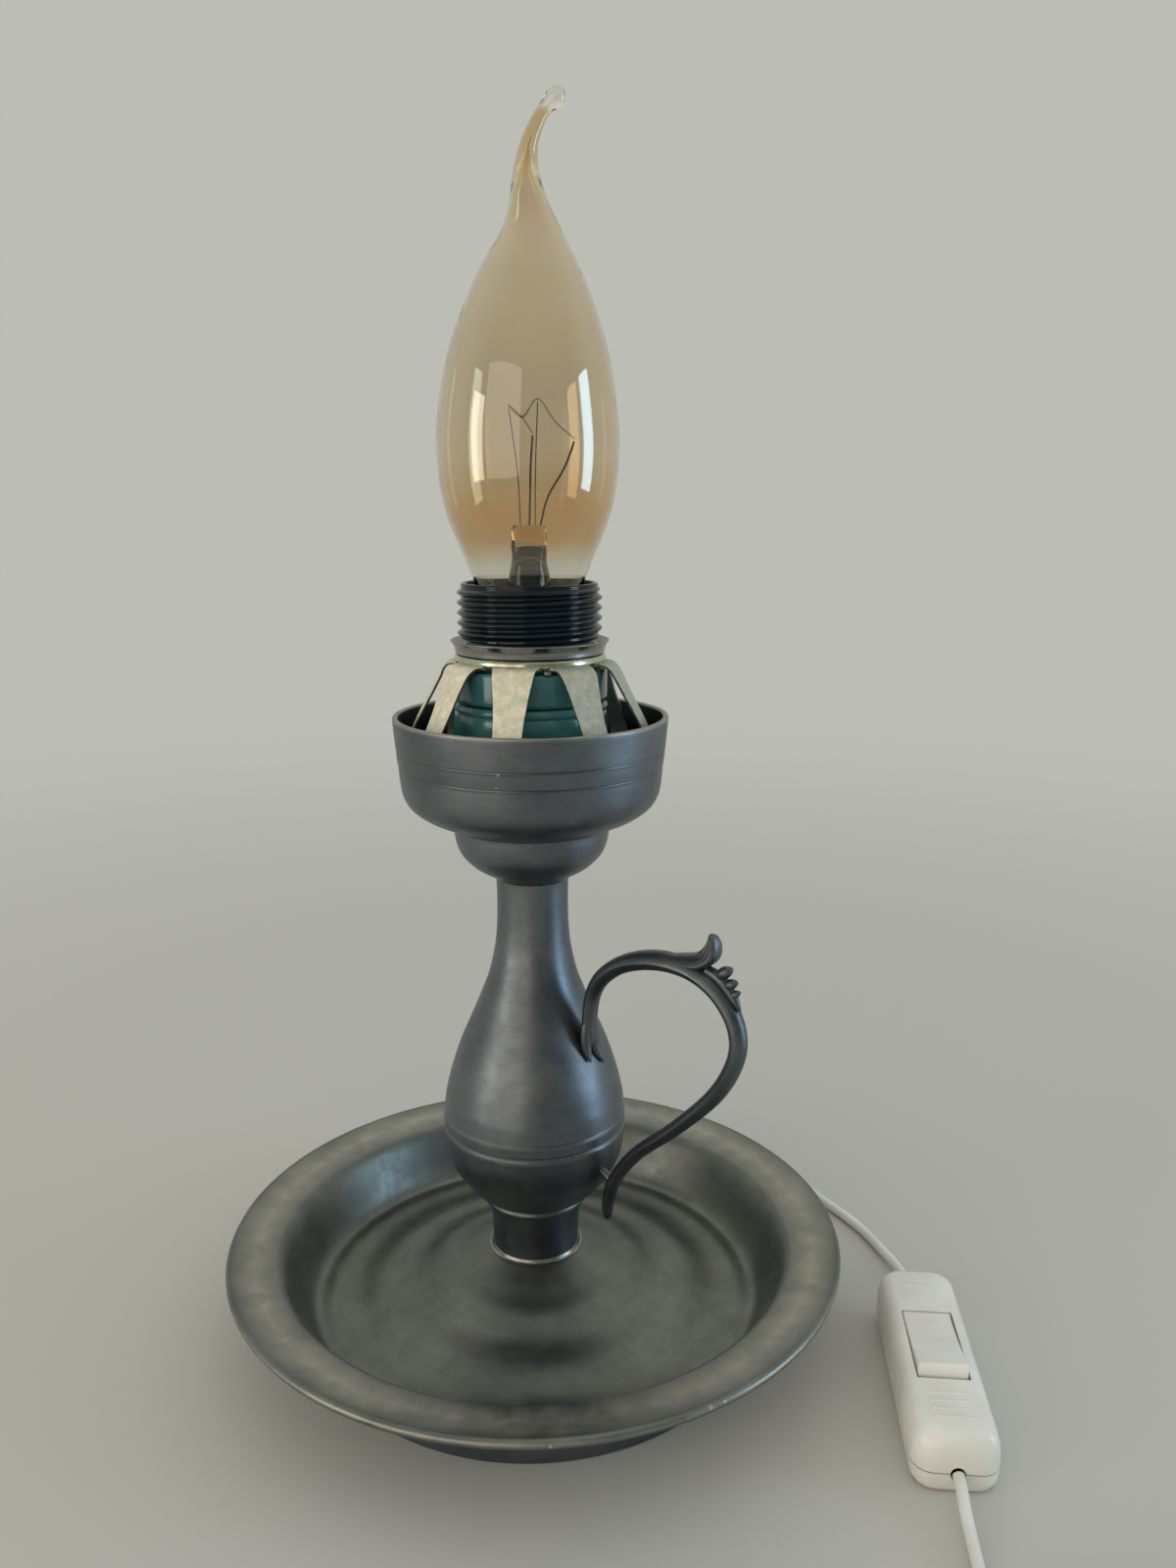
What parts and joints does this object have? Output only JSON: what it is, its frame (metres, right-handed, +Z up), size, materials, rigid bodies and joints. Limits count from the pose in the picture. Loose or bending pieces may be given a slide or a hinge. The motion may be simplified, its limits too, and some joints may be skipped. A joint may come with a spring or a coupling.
{
  "type": "table lamp",
  "caption": "Chamberstick table lamp: dish with turned stem, scroll handle and cup, small screw lampholder in a spring crown, bent-tip candle bulb, lead with rocker switch and plug.",
  "frame": {"origin": "on the table, in the middle of the foot ring, on the axis of the stem", "axes": "+Z up along the stem; -Y is the side the picture is taken from; +X to its right, where the lead lies"},
  "size_m": [0.173, 0.1949, 0.2435],
  "materials": {
    "pewter": "satin cast and spun pewter, darkened with age",
    "bakelite": "glossy black phenolic",
    "porcelain": "glazed white",
    "zinc_steel": "old mottled zinc plating",
    "plated_steel": "nickel plated, slightly dull",
    "brass": "plain brass strip",
    "amber_glass": "clear glass with a pale amber tint",
    "clear_glass": "clear",
    "black_glass": "opaque black glass",
    "tungsten": "dark drawn wire",
    "white_plastic": "off-white, slightly glossy",
    "flex": "white PVC sheath"
  },
  "bodies": {
    "lamp": {"dish": "pewter", "foot_ring": "pewter", "stem_collar": "pewter", "stem_lower": "pewter", "stem_upper": "pewter", "handle": "pewter", "cup_bowl": "pewter", "cup": "pewter", "threaded_tube": "plated_steel", "base_washer": "plated_steel", "base_nut": "plated_steel", "cup_washer": "plated_steel", "holder_nut": "plated_steel", "holder_base": "bakelite", "holder_shell": "bakelite", "holder_insert": "porcelain", "screw_shell": "plated_steel", "centre_contact": "brass", "side_contact": "brass", "terminal_screw_line": "brass", "terminal_screw_neutral": "brass", "flare_ring": "plated_steel", "claw_ring": "zinc_steel", "inner_cord": "flex", "strain_relief": "flex", "cord_lead": "flex", "cord_tail": "flex", "cord_coil": "flex", "plug_lead": "flex", "coil_tie": "white_plastic", "switch_base": "white_plastic", "switch_cover": "white_plastic", "rocker_pin": "plated_steel", "blade_post": "brass", "load_contact": "brass", "switch_screw_near": "plated_steel", "switch_screw_far": "plated_steel", "plug_body": "white_plastic", "plug_relief": "flex", "plug_pin_left": "plated_steel", "plug_pin_right": "plated_steel"},
    "bulb_cap": {"bulb_cap": "plated_steel", "cap_insulator": "black_glass", "cap_contact": "plated_steel"},
    "bulb": {"bulb_glass": "amber_glass", "glass_stem": "clear_glass", "lead_wire_left": "plated_steel", "lead_wire_right": "plated_steel", "hook_wire_left": "plated_steel", "hook_wire_right": "plated_steel", "filament": "tungsten"},
    "rocker": {"switch_rocker": "white_plastic"},
    "blade": {"contact_blade": "brass"}
  },
  "joints": [
    {"name": "bulb_lift", "type": "slide", "parent": "lamp", "child": "bulb_cap", "axis": [0, 0, 1], "range_m": [0, 0.0071]},
    {"name": "bulb_turn", "type": "hinge", "parent": "bulb_cap", "child": "bulb", "pos_m": [0, 0, 0.14], "axis": [0, 0, 1], "range_deg": [0, 900]},
    {"name": "rocker_tilt", "type": "hinge", "parent": "lamp", "child": "rocker", "pos_m": [0.07772, -0.03062, 0.0085], "axis": [0.991, -0.134, 0], "range_deg": [0, 14]},
    {"name": "blade_tilt", "type": "hinge", "parent": "lamp", "child": "blade", "pos_m": [0.07772, -0.03062, 0.00475], "axis": [0.991, -0.134, 0], "range_deg": [-11.2, 0]}
  ],
  "couplings": [
    {"joint": "bulb_lift", "follows": "bulb_turn", "m_per_rad": 0.00044882},
    {"joint": "blade_tilt", "follows": "rocker_tilt", "ratio": -0.8}
  ]
}
